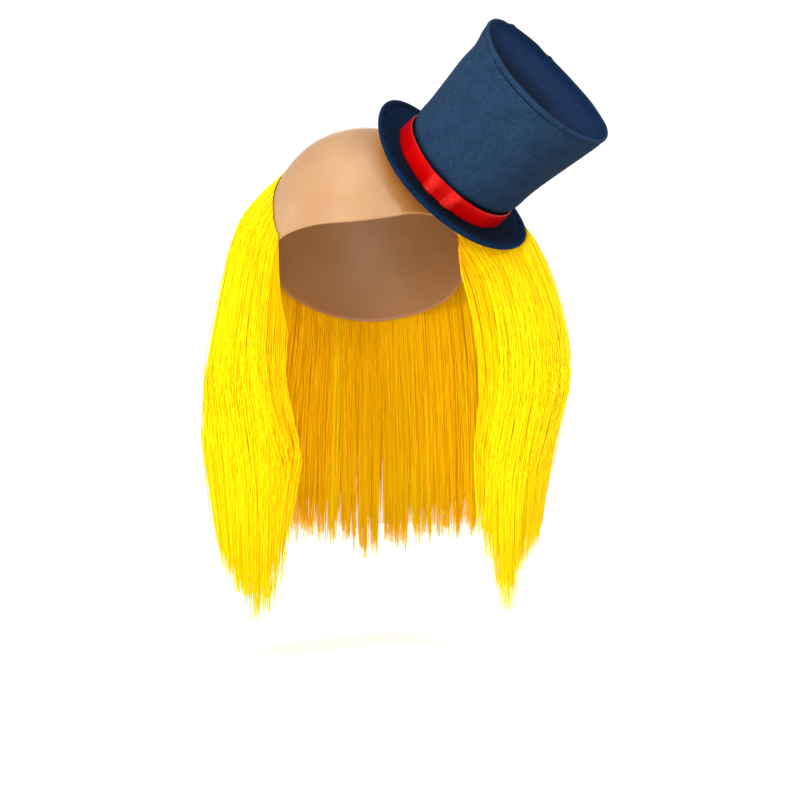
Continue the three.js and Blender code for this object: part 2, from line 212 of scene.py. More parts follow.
def curve_of(table, start, column):
    """A smooth curve through one column of a table."""
    x = np.array(table[start], float)
    y = np.array(table[column], float)
    slope = np.gradient(y, x)

    def at(value):
        v = np.clip(value, x[0], x[-1])
        i = np.clip(np.searchsorted(x, v) - 1, 0, len(x) - 2)
        h = x[i + 1] - x[i]
        t = (v - x[i]) / h
        rise = y[i + 1] - y[i]
        a = slope[i] * h - rise
        b = rise - slope[i + 1] * h
        return y[i] + rise * t + t * (1 - t) * (a * (1 - t) + b * t)

    return at


cap_edge_drop = curve_of(CAP_EDGE, "azimuth", "drop")
cap_askew = curve_of(CAP_ASKEW, "azimuth", "lower")
hairline_drop = curve_of(HAIRLINE, "azimuth", "drop")
tip_drop = curve_of(TIPS, "around", "drop")
fall_share = {column: curve_of(FALL, "drop", column) for column in FALL if column != "drop"}


def bearing(azimuth):
    """Azimuth 0 is the front, 90 the wig's left side and -90 its right."""
    turn = np.radians(azimuth)
    return np.sin(turn), -np.cos(turn)


def from_front(azimuth):
    return np.abs((azimuth + 180) % 360 - 180)


def smooth(value):
    """Rises from 0 to 1 with soft ends."""
    t = np.clip(value, 0, 1)
    return t * t * (3 - 2 * t)


def hump(value, middle, half):
    """1 in the middle, falling away to both sides."""
    return np.exp(-(((value - middle) / half) ** 2))


def oval_radius(azimuth, side, front, back):
    x, y = bearing(azimuth)
    along = np.where(y < 0, front, back)
    total = np.abs(x / side) ** BLOCK_SQUARENESS + np.abs(y / along) ** BLOCK_SQUARENESS
    return total ** (-1 / BLOCK_SQUARENESS)


def cap_radius(azimuth, drop, out):
    """How far out the block's surface, grown by some millimetres, is at a level."""
    up = BLOCK_RISE - drop
    height = np.where(up > 0, BLOCK_RISE, BLOCK_FALL) + out
    left_over = np.clip(1 - np.abs(up / height) ** BLOCK_SQUARENESS, 0, None)
    share = left_over ** (1 / BLOCK_SQUARENESS)
    return share * oval_radius(azimuth, BLOCK_SIDE + out, BLOCK_FRONT + out, BLOCK_BACK + out)


def block_point(azimuth, drop, out):
    """The block's surface, moved out along its normal."""
    x, y = bearing(azimuth)
    radius = cap_radius(azimuth, drop, 0)
    point = np.stack([x * radius, y * radius, -drop], -1)
    reach = np.stack(
        [
            np.full_like(radius, BLOCK_SIDE),
            np.where(y < 0, BLOCK_FRONT, BLOCK_BACK) * np.ones_like(radius),
            np.where(drop < BLOCK_RISE, BLOCK_RISE, BLOCK_FALL) * np.ones_like(radius),
        ],
        -1,
    )
    from_middle = point + np.array([0, 0, BLOCK_RISE])
    normal = np.sign(from_middle) * np.abs(from_middle / reach) ** (BLOCK_SQUARENESS - 1) / reach
    normal /= np.linalg.norm(normal, axis=-1, keepdims=True)
    return point + normal * np.asarray(out)[..., None]


hat_matrix = Matrix.Translation(Vector(HAT_SEAT)) @ (
    Matrix.Rotation(math.radians(HAT_TILT), 4, "Y") @ Matrix.Rotation(math.radians(HAT_NOD), 4, "X")
)
HAT_TURN = np.array(hat_matrix.to_3x3())
HAT_PLACE = np.array(HAT_SEAT)


def onto_hat(points):
    return points @ HAT_TURN.T + HAT_PLACE


def into_hat(points):
    return (points - HAT_PLACE) @ HAT_TURN


# Meshes


def keep(obj, slot_name, *nodes):
    """Shades a finished piece, hangs it on the body and hides the parts of model.glb that it takes the
    place of.
    """
    obj.data.shade_smooth()
    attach(obj, "root")
    if nodes:
        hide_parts(*nodes)
    return obj


def new_object(name, mesh, material=None):
    obj = bpy.data.objects.new(name, mesh)
    bpy.context.scene.collection.objects.link(obj)
    if material:
        mesh.materials.append(material)
    return obj


def write_facts(mesh, facts):
    """Writes numbers on a mesh's points, for its material or its nodes to read."""
    for key, value in facts.items():
        layer = mesh.attributes.new(key, "FLOAT", "POINT")
        layer.data.foreach_set("value", value.reshape(-1).astype(np.float32))


def closed_grid(name, points, material, uv=None, facts=None):
    """A closed body from rings of points: rows round its section, columns round its axis."""
    columns, rows = points.shape[:2]
    column, row = np.meshgrid(np.arange(columns), np.arange(rows), indexing="ij")
    next_column = (column + 1) % columns
    next_row = (row + 1) % rows
    faces = np.stack(
        [
            column * rows + row,
            column * rows + next_row,
            next_column * rows + next_row,
            next_column * rows + row,
        ],
        -1,
    ).reshape(-1, 4)
    flat = points.reshape(-1, 3)
    a, b, c, d = (flat[faces[:, k]] for k in range(4))
    volume = np.einsum("ij,ij->i", a, np.cross(b, c) + np.cross(c, d)).sum()
    if volume < 0:
        faces = faces[:, ::-1]
    mesh = bpy.data.meshes.new(name)
    mesh.from_pydata((flat * MM).tolist(), [], faces.tolist())
    if uv is not None:
        layer = mesh.uv_layers.new(name="surface")
        corners = np.stack(
            [
                uv[column, row],
                uv[column, np.minimum(row + 1, uv.shape[1] - 1)],
                uv[column + 1, np.minimum(row + 1, uv.shape[1] - 1)],
                uv[column + 1, row],
            ],
            -2,
        ).reshape(-1, 4, 2)
        if volume < 0:
            corners = corners[:, ::-1]
        layer.uv.foreach_set("vector", (corners * MM).reshape(-1).astype(np.float32))
    write_facts(mesh, facts or {})
    welded = bpy.data.meshes.new(name)
    bm = bmesh.new()
    bm.from_mesh(mesh)
    bmesh.ops.remove_doubles(bm, verts=bm.verts, dist=0.002 * MM)
    bm.to_mesh(welded)
    bm.free()
    return new_object(name, welded, material)


# Materials


def srgb(code):
    """A colour written as sRGB hex, turned linear."""
    parts = [int(code[i : i + 2], 16) / 255 for i in (1, 3, 5)]
    return (*[p / 12.92 if p <= 0.04045 else ((p + 0.055) / 1.055) ** 2.4 for p in parts], 1)


def grain(millimetres):
    """The scale at which a texture's blotches measure about so many millimetres."""
    return 1 / (millimetres * MM)


def add(tree, kind, inputs=None, stops=(), **settings):
    """Adds a node to a tree with its settings, its ramp's hex colours, and its values and links."""
    made = tree.nodes.new(kind)
    for name, value in settings.items():
        setattr(made, name, value)
    if stops:
        elements = made.color_ramp.elements
        elements.remove(elements[1])
    for number, (place, code) in enumerate(stops):
        element = elements.new(place) if number else elements[0]
        element.position = place
        element.color = srgb(code)
    for key, value in (inputs or {}).items():
        if isinstance(value, bpy.types.NodeSocket):
            tree.links.new(value, made.inputs[key])
        else:
            made.inputs[key].default_value = value
    return made


def new_material(name):
    material = bpy.data.materials.new(name)
    material.use_nodes = True
    material.node_tree.nodes.clear()
    return material, material.node_tree


def finish_material(tree, shader):
    add(tree, "ShaderNodeOutputMaterial", {"Surface": shader.outputs["BSDF"]})


def moulded_latex():
    """Slip-moulded skin-coloured latex: satin, faintly blotchy, with fine pores and creases."""
    material, tree = new_material("moulded latex")
    place = add(tree, "ShaderNodeTexCoord").outputs["Object"]
    blotches = add(tree, "ShaderNodeTexNoise", {"Vector": place, "Scale": grain(30), "Detail": 4})
    clean = add(
        tree,
        "ShaderNodeValToRGB",
        {"Fac": blotches.outputs["Fac"]},
        stops=((0.3, "#A67D53"), (0.55, "#AA8257"), (0.75, "#AE875C")),
    )
    # painted shade: the latex is painted a darker, warmer tan where the brim's shadow falls on it
    brim_shade = add(tree, "ShaderNodeAttribute", attribute_name="brim_shade").outputs["Fac"]
    colour = add(
        tree,
        "ShaderNodeMix",
        {0: brim_shade, 6: clean.outputs["Color"], 7: srgb("#B0722C")},
        data_type="RGBA",
    )
    pores = add(tree, "ShaderNodeTexNoise", {"Vector": place, "Scale": grain(0.8), "Detail": 3})
    swells = add(tree, "ShaderNodeTexNoise", {"Vector": place, "Scale": grain(14)})
    # creases run across the front, long in X and about 2 mm apart in Z, and fade upwards
    drawn_out = add(tree, "ShaderNodeMapping", {"Vector": place, "Scale": (0.06, 0.1, 1)})
    lines = add(
        tree, "ShaderNodeTexNoise", {"Vector": drawn_out.outputs["Vector"], "Scale": grain(3.2)}
    )
    apart = add(tree, "ShaderNodeSeparateXYZ", {"Vector": place})
    low = add(
        tree, "ShaderNodeMapRange", {"Value": apart.outputs["Z"], "From Min": -0.048, "From Max": -0.068}
    )
    front = add(
        tree, "ShaderNodeMapRange", {"Value": apart.outputs["Y"], "From Min": -0.05, "From Max": -0.08}
    )
    where = add(
        tree,
        "ShaderNodeMath",
        {0: low.outputs["Result"], 1: front.outputs["Result"]},
        operation="MULTIPLY",
    )
    creases = add(
        tree, "ShaderNodeMath", {0: lines.outputs["Fac"], 1: where.outputs[0]}, operation="MULTIPLY"
    )
    fine = add(
        tree, "ShaderNodeBump", {"Height": pores.outputs["Fac"], "Strength": 0.12, "Distance": 0.0002}
    )
    crossing = add(
        tree,
        "ShaderNodeBump",
        {
            "Height": creases.outputs[0],
            "Strength": 0.3,
            "Distance": 0.0008,
            "Normal": fine.outputs["Normal"],
        },
    )
    broad = add(
        tree,
        "ShaderNodeBump",
        {
            "Height": swells.outputs["Fac"],
            "Strength": 0.3,
            "Distance": 0.0012,
            "Normal": crossing.outputs["Normal"],
        },
    )
    shader = add(
        tree,
        "ShaderNodeBsdfPrincipled",
        {
            "Base Color": colour.outputs[2],
            "Roughness": 0.5,
            "IOR": 1.52,
            "Subsurface Weight": 0.4,
            "Subsurface Radius": (1, 0.35, 0.12),
            "Subsurface Scale": 0.005,
            "Normal": broad.outputs["Normal"],
        },
    )
    finish_material(tree, shader)
    return material


def synthetic_hair():
    """Extruded modacrylic fibre, bright yellow; a faint painted golden glow keeps its shade golden."""
    material, tree = new_material("modacrylic hair fibre")
    tint = add(tree, "ShaderNodeAttribute", attribute_name="tint").outputs["Fac"]
    depth = add(tree, "ShaderNodeAttribute", attribute_name="depth").outputs["Fac"]
    strand = add(
        tree,
        "ShaderNodeValToRGB",
        {"Fac": tint},
        stops=((0, "#FBC000"), (0.35, "#FDD100"), (0.6, "#FFE000"), (0.85, "#FFEB00")),
    )
    # painted shade: strands inside the fall, near their roots and at the front edge are painted warmer
    # orange
    inner = add(tree, "ShaderNodeValToRGB", {"Fac": tint}, stops=((0, "#FFA800"), (0.8, "#FFCC00")))
    colour = add(
        tree,
        "ShaderNodeMix",
        {0: depth, 6: strand.outputs["Color"], 7: inner.outputs["Color"]},
        data_type="RGBA",
    )
    shader = add(
        tree,
        "ShaderNodeBsdfPrincipled",
        {
            "Base Color": colour.outputs[2],
            "Roughness": 0.5,
            "IOR": 1.5,
            "Specular IOR Level": 0.3,
            "Specular Tint": srgb("#FFE070"),
            "Sheen Weight": 0.35,
            "Sheen Roughness": 0.4,
            "Sheen Tint": srgb("#FFC400"),
            # painted light: a faint constant golden glow that stands in for light passing through the
            # fibres
            "Emission Color": srgb("#FFC800"),
            "Emission Strength": 0.08,
        },
    )
    finish_material(tree, shader)
    return material


def wool_felt(name, dark, middle, light):
    """Blocked wool felt: matted fibres with no weave, quite matt, with shade painted in darker by a
    number on its points.
    """
    material, tree = new_material(name)
    place = add(tree, "ShaderNodeTexCoord").outputs["Object"]
    fibres = add(
        tree,
        "ShaderNodeTexNoise",
        {"Vector": place, "Scale": grain(1.3), "Detail": 8, "Roughness": 0.75},
    )
    clouds = add(tree, "ShaderNodeTexNoise", {"Vector": place, "Scale": grain(12), "Detail": 4})
    mixed = add(
        tree,
        "ShaderNodeMix",
        {0: 0.2, 2: fibres.outputs["Fac"], 3: clouds.outputs["Fac"]},
        data_type="FLOAT",
    )
    felted = add(
        tree,
        "ShaderNodeValToRGB",
        {"Fac": mixed.outputs[0]},
        stops=((0.38, dark), (0.5, middle), (0.62, light)),
    )
    # specks of lint, 0.5 mm across and a couple of centimetres apart
    apart = add(tree, "ShaderNodeTexVoronoi", {"Vector": place, "Scale": grain(17), "Randomness": 1.0})
    lint = add(
        tree,
        "ShaderNodeMapRange",
        {"Value": apart.outputs["Distance"], "From Min": 0.022, "From Max": 0.012},
    )
    specked = add(
        tree,
        "ShaderNodeMix",
        {0: lint.outputs["Result"], 6: felted.outputs["Color"], 7: srgb("#8292A6")},
        data_type="RGBA",
    )
    # painted shade: the felt is mixed towards near black where shade falls on it, in grooves, hollows
    # and on its shaded side
    painted_shade = add(tree, "ShaderNodeAttribute", attribute_name="painted_shade").outputs["Fac"]
    colour = add(
        tree,
        "ShaderNodeMix",
        {0: painted_shade, 6: specked.outputs[2], 7: srgb("#020610")},
        data_type="RGBA",
    )
    nap = add(
        tree, "ShaderNodeBump", {"Height": fibres.outputs["Fac"], "Strength": 0.55, "Distance": 0.0006}
    )
    shader = add(
        tree,
        "ShaderNodeBsdfPrincipled",
        {
            "Base Color": colour.outputs[2],
            "Roughness": 0.95,
            "Specular IOR Level": 0.04,
            "Sheen Weight": 0.02,
            "Sheen Roughness": 0.5,
            "Sheen Tint": srgb("#7C93AE"),
            "Normal": nap.outputs["Normal"],
        },
    )
    finish_material(tree, shader)
    return material


def ribbon_satin():
    """Woven polyester satin ribbon: long floats along it give a strong soft gloss."""
    material, tree = new_material("polyester satin")
    surface = add(tree, "ShaderNodeUVMap", uv_map="surface").outputs["UV"]
    # the threads are really 0.1 mm apart, and are drawn at 0.5 mm so that they show
    threads = add(
        tree,
        "ShaderNodeTexWave",
        {"Vector": surface, "Scale": grain(0.5) / 20, "Distortion": 0.4, "Detail": 1},
        wave_type="BANDS",
        bands_direction="Y",
    )
    shade = add(tree, "ShaderNodeTexNoise", {"Vector": surface, "Scale": grain(30)})
    # fine crumples across the ribbon where it bends most
    along = add(tree, "ShaderNodeSeparateXYZ", {"Vector": surface}).outputs["X"]
    drawn_out = add(tree, "ShaderNodeMapping", {"Vector": surface, "Scale": (0.7, 1, 1)})
    rough = add(tree, "ShaderNodeTexNoise", {"Vector": drawn_out.outputs["Vector"], "Scale": grain(2.4)})
    bends = 0.0
    for bend in RIBBON_BENDS:
        away = add(tree, "ShaderNodeMath", {0: along, 1: -bend * MM}, operation="ADD").outputs[0]
        away = add(tree, "ShaderNodeMath", {0: away}, operation="ABSOLUTE").outputs[0]
        here = add(tree, "ShaderNodeMapRange", {"Value": away, "From Min": 0.006, "From Max": 0.001})
        bends = add(
            tree, "ShaderNodeMath", {0: here.outputs["Result"], 1: bends}, operation="ADD"
        ).outputs[0]
    crumples_and_highlight = add(
        tree, "ShaderNodeMath", {0: rough.outputs["Fac"], 1: bends}, operation="MULTIPLY"
    ).outputs[0]
    dyed = add(
        tree,
        "ShaderNodeValToRGB",
        {"Fac": shade.outputs["Fac"]},
        stops=((0.3, "#A20001"), (0.6, "#B60001"), (0.8, "#C20102")),
    )
    # painted highlight: the ribbon is painted paler on its crumples where it bends most
    colour = add(
        tree,
        "ShaderNodeMix",
        {0: crumples_and_highlight, 6: dyed.outputs["Color"], 7: srgb("#F02C26")},
        data_type="RGBA",
    )
    creased = add(tree, "ShaderNodeBump", {"Height": crumples_and_highlight, "Strength": 0.8, "Distance": 0.001})
    weave = add(
        tree,
        "ShaderNodeBump",
        {
            "Height": threads.outputs["Fac"],
            "Strength": 0.15,
            "Distance": 0.0001,
            "Normal": creased.outputs["Normal"],
        },
    )
    tangent = add(tree, "ShaderNodeTangent", direction_type="UV_MAP", uv_map="surface")
    shader = add(
        tree,
        "ShaderNodeBsdfPrincipled",
        {
            "Base Color": colour.outputs[2],
            "Roughness": 0.34,
            "Specular IOR Level": 0.42,
            "Specular Tint": srgb("#FF7468"),
            "Anisotropic": 0.5,
            "Tangent": tangent.outputs["Tangent"],
            "Normal": weave.outputs["Normal"],
        },
    )
    finish_material(tree, shader)
    return material


def sewing_thread():
    """Spun polyester thread, near black and matt."""
    material, tree = new_material("spun polyester thread")
    place = add(tree, "ShaderNodeTexCoord").outputs["Object"]
    fuzz = add(tree, "ShaderNodeTexNoise", {"Vector": place, "Scale": grain(0.8)})
    colour = add(
        tree,
        "ShaderNodeValToRGB",
        {"Fac": fuzz.outputs["Fac"]},
        stops=((0.4, "#02050C"), (0.6, "#060C18")),
    )
    shader = add(
        tree,
        "ShaderNodeBsdfPrincipled",
        {"Base Color": colour.outputs["Color"], "Roughness": 0.9, "Specular IOR Level": 0.1},
    )
    finish_material(tree, shader)
    return material


# The bald cap


def latex_cap(material):
    """A thin shell over the block, its edge rolled into a bead over the front."""
    columns, rows = 192, 64
    azimuth = np.arange(columns) * 360 / columns
    lowest = CAP_DEPTH * cap_edge_drop(from_front(azimuth)) + cap_askew((azimuth + 180) % 360 - 180)
    bead = EDGE_BEAD * np.clip(np.cos(np.radians(from_front(azimuth) * 1.6)), 0, None)
    turn = np.where(
        lowest < BLOCK_RISE,
        np.arccos(np.clip(1 - lowest / BLOCK_RISE, -1, 1)),
        np.arccos(np.clip((BLOCK_RISE - lowest) / BLOCK_FALL, -1, 1)),
    )
    share = np.linspace(0, 1, rows) ** 0.9
    up = np.cos(turn[:, None] * share)
    drop = BLOCK_RISE - up * np.where(up > 0, BLOCK_RISE, BLOCK_FALL)
    wide = np.broadcast_to(azimuth[:, None], drop.shape)
    below = lowest[:, None] - drop
    roll = bead[:, None] * np.sqrt(np.clip(1 - ((below - BEAD_UP) / BEAD_HALF) ** 2, 0, 1))
    crease = CREASE_RISE * hump(below, CREASE_UP, CREASE_HALF) * np.sin(np.radians(wide * 5))
    crease = crease * (from_front(wide) < 60)
    outer = block_point(wide, drop, CAP_WALL + roll + crease)
    inner = block_point(wide, drop, np.zeros_like(drop))
    edge = []
    for step in (0.3, 0.7):
        out = np.full_like(lowest, CAP_WALL * (1 - step))
        edge.append(block_point(azimuth, lowest + 0.5 * math.sin(math.pi * step), out)[:, None])
    points = np.concatenate([outer, *edge, inner[:, ::-1]], 1)
    # painted shadow of the brim: darker, warmer latex near and under the brim's edge, on the hat's side
    # only
    local = into_hat(points)
    past_brim = np.hypot(local[..., 0], local[..., 1]) - CROWN_BASE - BRIM_WIDTH
    brim_shade = BRIM_SHADE_STRENGTH * (1 - smooth((past_brim + BRIM_SHADE_INSIDE) / BRIM_SHADE_FADE))
    brim_shade = brim_shade * (local[..., 2] > -BRIM_SHADE_BELOW_SEAT)
    return closed_grid("latex_cap", points, material, facts={"brim_shade": brim_shade})


# The hair


def fall_radius(azimuth, drop):
    """How far out the hair's outer surface is."""
    level = drop / HAIR_DROP
    x, _ = bearing(azimuth)
    side = np.where(
        x < 0,
        HAIR_REACH["right"] * fall_share["right"](level),
        HAIR_REACH["left"] * fall_share["left"](level),
    )
    front = HAIR_REACH["front"] * fall_share["front"](level)
    back = HAIR_REACH["back"] * fall_share["back"](level)
    return oval_radius(azimuth, side, front, back)


def hair_edges(panel, level):
    """The azimuths of a panel's two sides at a level, going from its first lock to its last."""
    still = np.full_like(level, BACK_PART)
    return {
        "right": (-still - PANEL_LAP, -fall_share["right_edge"](level)),
        "back": (still - PANEL_LAP, 360 - still + PANEL_LAP),
        "left": (fall_share["left_edge"](level), still + PANEL_LAP),
    }[panel]


# Which part of the row of tips each panel has, and how much paler its strands get at the front
AROUND = {"right": (0.3, 0), "back": (0.7, 0.3), "left": (1, 0.7)}
LEMON = {"right": 0.3, "back": 0.5, "left": 0.75}


def brim_rise(azimuth, across):
    x, y = bearing(azimuth)
    front_or_back = np.where(y < 0, BRIM_FRONT_RISE, -BRIM_BACK_DROP)
    return (x**2 * BRIM_SIDE_CURL + y**2 * front_or_back) * across**1.7


def under_hat(points, margin):
    """True where a point is in the space that the hat takes, with a margin under its brim."""
    local = into_hat(points)
    radius = np.hypot(local[..., 0], local[..., 1])
    azimuth = np.degrees(np.arctan2(local[..., 0], -local[..., 1]))
    across = np.clip((radius - CROWN_BASE) / BRIM_WIDTH, 0, 1)
    floor = brim_rise(azimuth, across) - BRIM_DROOP * across - BRIM_THICKNESS - margin
    return (radius < CROWN_BASE + BRIM_WIDTH + margin) & (local[..., 2] > floor)


def strand_points(panel, strands, along):
    """Where each strand is, along it from its root (0) to its tip (1)."""
    s = {name: value[:, None] for name, value in strands.items()}
    first, last = hair_edges(panel, np.zeros_like(along))
    root_azimuth = first + (last - first) * s["share"]
    line = BLOCK_RISE * hairline_drop(from_front(root_azimuth))
    root = line + s["root_below"]
    drop = root + (s["tip"] - root) * along
    level = drop / HAIR_DROP
    moved_first, moved_last = hair_edges(panel, level)
    mean_first, mean_last = hair_edges(panel, np.full_like(along, 0.5))
    first = mean_first + (moved_first - mean_first) * s["follow"]
    last = mean_last + (moved_last - mean_last) * s["follow"]
    gather = smooth((along - LOCK_FROM) / (1 - LOCK_FROM)) * s["gather"]
    at_tip = smooth((along - WISP_FROM) / (1 - WISP_FROM))
    share = s["share"] + (s["lock_share"] - s["share"]) * gather
    share = share + (s["wisp_share"] - share) * at_tip * s["gather"] * WISP_PULL
    layer = s["layer"] + (s["lock_layer"] - s["layer"]) * gather * LAYER_PULL
    sway = s["wave"] * np.sin(2 * math.pi * (drop / s["wave_length"] + s["phase"]))
    fine = s["kink"] * np.sin(2 * math.pi * (drop / s["kink_length"] + s["kink_phase"]))
    across = (sway + fine) * smooth(along * 2.5)
    around = fall_radius((first + last) / 2, drop)
    azimuth = first + (last - first) * share + np.degrees(across / around)
    free = 1 - (1 - np.clip((drop - line) / HAIR_LIFT, 0, 1)) ** 2
    rooted = cap_radius(azimuth, drop, CAP_WALL) + HAIR_ROOT_DEPTH
    outer = rooted + np.clip(fall_radius(azimuth, drop) - rooted, 0, None) * free
    room = outer - rooted + 2 * HAIR_ROOT_DEPTH
    thick = np.minimum(HAIR_DEPTH * fall_share["depth"](level), room) * (1 - TIP_THINNING * at_tip)
    puff = s["puff"] * np.sin(2 * math.pi * (drop / s["kink_length"] * 0.6 + s["phase"]))
    radius = outer - thick * layer + (puff + s["stray"] * along) * smooth(along * 2)
    skin = cap_radius(azimuth, drop, CAP_WALL + SKIN_GAP)
    lift = 1 - (1 - np.clip((drop - root) / STRAND_LIFT, 0, 1)) ** 2
    radius = np.maximum(skin + np.clip(radius - skin, 0, None) * lift, skin)
    x, y = bearing(azimuth)
    return np.stack([x * radius, y * radius, -drop], -1)


def make_strands(panel, count, locks):
    """The random facts of every strand: its own, its lock's and its wisp's."""
    edges = np.sort(rng.random(locks))
    edges = 0.45 * edges + 0.55 * (np.arange(locks) + 0.5) / locks
    share = rng.random(count)
    layer = rng.random(count) ** 1.25
    lock = np.abs(edges[None, :] - (share + rng.normal(0, 0.25 / locks, count))[:, None]).argmin(1)
    wisps = locks * LOCK_WISPS
    wisp_share = np.repeat(edges, LOCK_WISPS) + rng.normal(0, 0.35 / locks, wisps)
    wisp = lock * LOCK_WISPS + rng.integers(0, LOCK_WISPS, count)
    start, end = AROUND[panel]
    full = HAIR_DROP * tip_drop(start + (end - start) * edges[lock])
    ragged = rng.random(locks) ** 2 * LOCK_RAGGED * HAIR_DROP
    wisp_ragged = rng.random(wisps) ** 2 * WISP_RAGGED * HAIR_DROP
    uneven = BACK_RAGGED if panel == "back" else 1
    short = uneven * (ragged[lock] + wisp_ragged[wisp])
    short = short + STRAND_RAGGED * rng.random(count) ** 2.4 - STRAND_EXTRA
    stray = np.where(rng.random(count) < STRAY_SHARE, rng.uniform(*STRAY_OUT, count), 0)
    return {
        "share": share,
        "layer": layer,
        "lock_share": edges[lock],
        "lock_layer": (rng.permutation(locks) / locks)[lock],
        "wisp_share": np.clip(wisp_share[wisp], 0, 1),
        "follow": rng.uniform(0.6, 1.08, count),
        "gather": rng.uniform(0.15, 0.75, count) * np.where(stray > 0, 0.4, 1),
        "root_below": 22 * layer * rng.uniform(0.5, 1, count) + 4 * rng.random(count) ** 3,
        "tip": full - short,
        "wave": rng.uniform(0.2, 1.0, locks)[lock],
        "wave_length": rng.uniform(150, 280, locks)[lock],
        "phase": rng.random(locks)[lock] + 0.04 * rng.random(count),
        "kink": rng.uniform(0.1, 0.4, count) + stray * 0.2,
        "kink_length": rng.uniform(110, 200, count),
        "kink_phase": rng.random(count),
        "puff": rng.uniform(0, 0.35, count) + stray * 0.2,
        "stray": stray,
        "tint": np.clip(0.3 + rng.normal(0, 0.1, locks)[lock] + rng.normal(0, 0.12, count), 0, 1),
    }


def strand_tree(material):
    """Geometry Nodes that give each line of points a thin three-sided body."""
    tree = bpy.data.node_groups.new("hair strands", "GeometryNodeTree")
    sockets = tree.interface
    sockets.new_socket("Lines", in_out="INPUT", socket_type="NodeSocketGeometry")
    width = sockets.new_socket("Fibre radius", in_out="INPUT", socket_type="NodeSocketFloat")
    sockets.new_socket("Strands", in_out="OUTPUT", socket_type="NodeSocketGeometry")
    came = add(tree, "NodeGroupInput")
    thickness = add(
        tree, "GeometryNodeInputNamedAttribute", {"Name": "thickness"}, data_type="FLOAT"
    ).outputs["Attribute"]
    radius = add(
        tree, "ShaderNodeMath", {0: thickness, 1: came.outputs["Fibre radius"]}, operation="MULTIPLY"
    )
    curves = add(tree, "GeometryNodeMeshToCurve", {"Mesh": came.outputs["Lines"]})
    section = add(tree, "GeometryNodeCurvePrimitiveCircle", {"Resolution": 3, "Radius": 1.0})
    swept = add(
        tree,
        "GeometryNodeCurveToMesh",
        {
            "Curve": curves.outputs["Curve"],
            "Profile Curve": section.outputs["Curve"],
            "Scale": radius.outputs[0],
            "Fill Caps": True,
        },
    )
    made = add(tree, "GeometryNodeRealizeInstances", {"Geometry": swept.outputs["Mesh"]})
    dressed = add(
        tree, "GeometryNodeSetMaterial", {"Geometry": made.outputs["Geometry"], "Material": material}
    )
    add(tree, "NodeGroupOutput", {"Strands": dressed.outputs["Geometry"]})
    return tree, {"Fibre radius": width.identifier}


def run_nodes(name, obj, tree, values):
    """Runs a node tree on an object and keeps the result as a plain mesh."""
    modifier = obj.modifiers.new("made", "NODES")
    modifier.node_group = tree
    for identifier, value in values.items():
        modifier[identifier] = value
    graph = bpy.context.evaluated_depsgraph_get()
    mesh = bpy.data.meshes.new_from_object(obj.evaluated_get(graph))
    mesh.name = name
    bpy.data.objects.remove(obj)
    return new_object(name, mesh)


def hair_piece(name, panel, count, tree, inputs):
    """One batch of a panel's strands."""
    strands = make_strands(panel, count, HAIR_LOCKS)
    # a strand that starts under the hat is cut back to where it comes out from it
    probe = np.linspace(0, 1, 60) ** 1.3
    last = len(probe) - 1
    points = strand_points(panel, strands, np.broadcast_to(probe, (count, len(probe))))
    hidden = under_hat(points, CLEARANCE + 0.4)
    last_hidden = np.where(hidden.any(1), last - hidden[:, ::-1].argmax(1), -1)
    begin = np.where(last_hidden < 0, 0, probe[np.clip(last_hidden + 1, 0, last)])
    kept = begin < 0.9
    strands = {key: value[kept] for key, value in strands.items()}
    begin = begin[kept][:, None]
    # the points are a little higher or lower in each strand, so that their corners don't line up
    shift = 0.96 + 0.26 * strands["kink_phase"][:, None]
    along = begin + (1 - begin) * np.array([STRAND_STEPS]) ** shift
    points = strand_points(panel, strands, along)
    count, steps = along.shape
    share = strands["share"][:, None]
    front = {"right": share, "back": np.full_like(share, 0.3), "left": 1 - share}[panel]
    layer = strands["layer"][:, None]
    # Painted shade, carried by depth: strands are painted warmer orange at the front edge, near their
    # roots and inside the fall, where shade falls among them; inside also thickens the inner strands
    front_shade = 0.08 * smooth((front - 0.92) / 0.08)
    root_shade = 0.5 * (1 - smooth(along / 0.06))
    near_front = 0.1 + 0.9 * smooth((front - 0.4) / 0.35)
    lemon = LEMON[panel] * smooth((along + 0.02) / 0.4) * near_front
    inside = np.clip(layer * 1.8 - 0.3, 0, 1) * (1 - 0.6 * smooth((layer - 0.7) / 0.2))
    inside = inside * (1 - 0.7 * smooth((along - 0.6) / 0.4))
    facts = {
        "thickness": (1 - 0.7 * smooth((along - 0.7) / 0.3)) * (1 + 0.7 * inside),
        "tint": strands["tint"][:, None] + lemon,
        "depth": np.clip(inside + root_shade + front_shade, 0, 1),
    }
    lines = bpy.data.meshes.new(name)
    start = np.arange(count * steps).reshape(count, steps)
    edges = np.stack([start[:, :-1], start[:, 1:]], -1).reshape(-1, 2)
    lines.from_pydata((points.reshape(-1, 3) * MM).tolist(), edges.tolist(), [])
    write_facts(lines, facts)
    made = run_nodes(name, new_object(name, lines), tree, {inputs["Fibre radius"]: FIBRE_RADIUS * MM})
    return keep(made, "hair", "hair_" + panel)


# The top hat


def crown_radius(share):
    """The crown's outer radius at a share of its height, drawn in at the stitched rim."""
    flare = CROWN_BASE + (CROWN_TOP - CROWN_BASE) * share
    return flare - CROWN_WAIST * np.sin(math.pi * share)


def crown_edge(azimuth):
    """How high the crown's soft top edge stands."""
    behind = (1 - np.cos(np.radians(azimuth))) / 2
    return CROWN_HEIGHT - CROWN_SLUMP * behind**3


def rim_unevenness(azimuth):
    """The small lumps of the folded rim."""
    turn = np.radians(azimuth)
    lumps = 0.15 * np.sin(7 * turn + 1) + 0.1 * np.sin(12 * turn + 2)
    for place, width, rise in RIM_PUCKERS:
        away = (azimuth - place + 180) % 360 - 180
        lumps = lumps + rise * hump(away, 0, width)
    return lumps


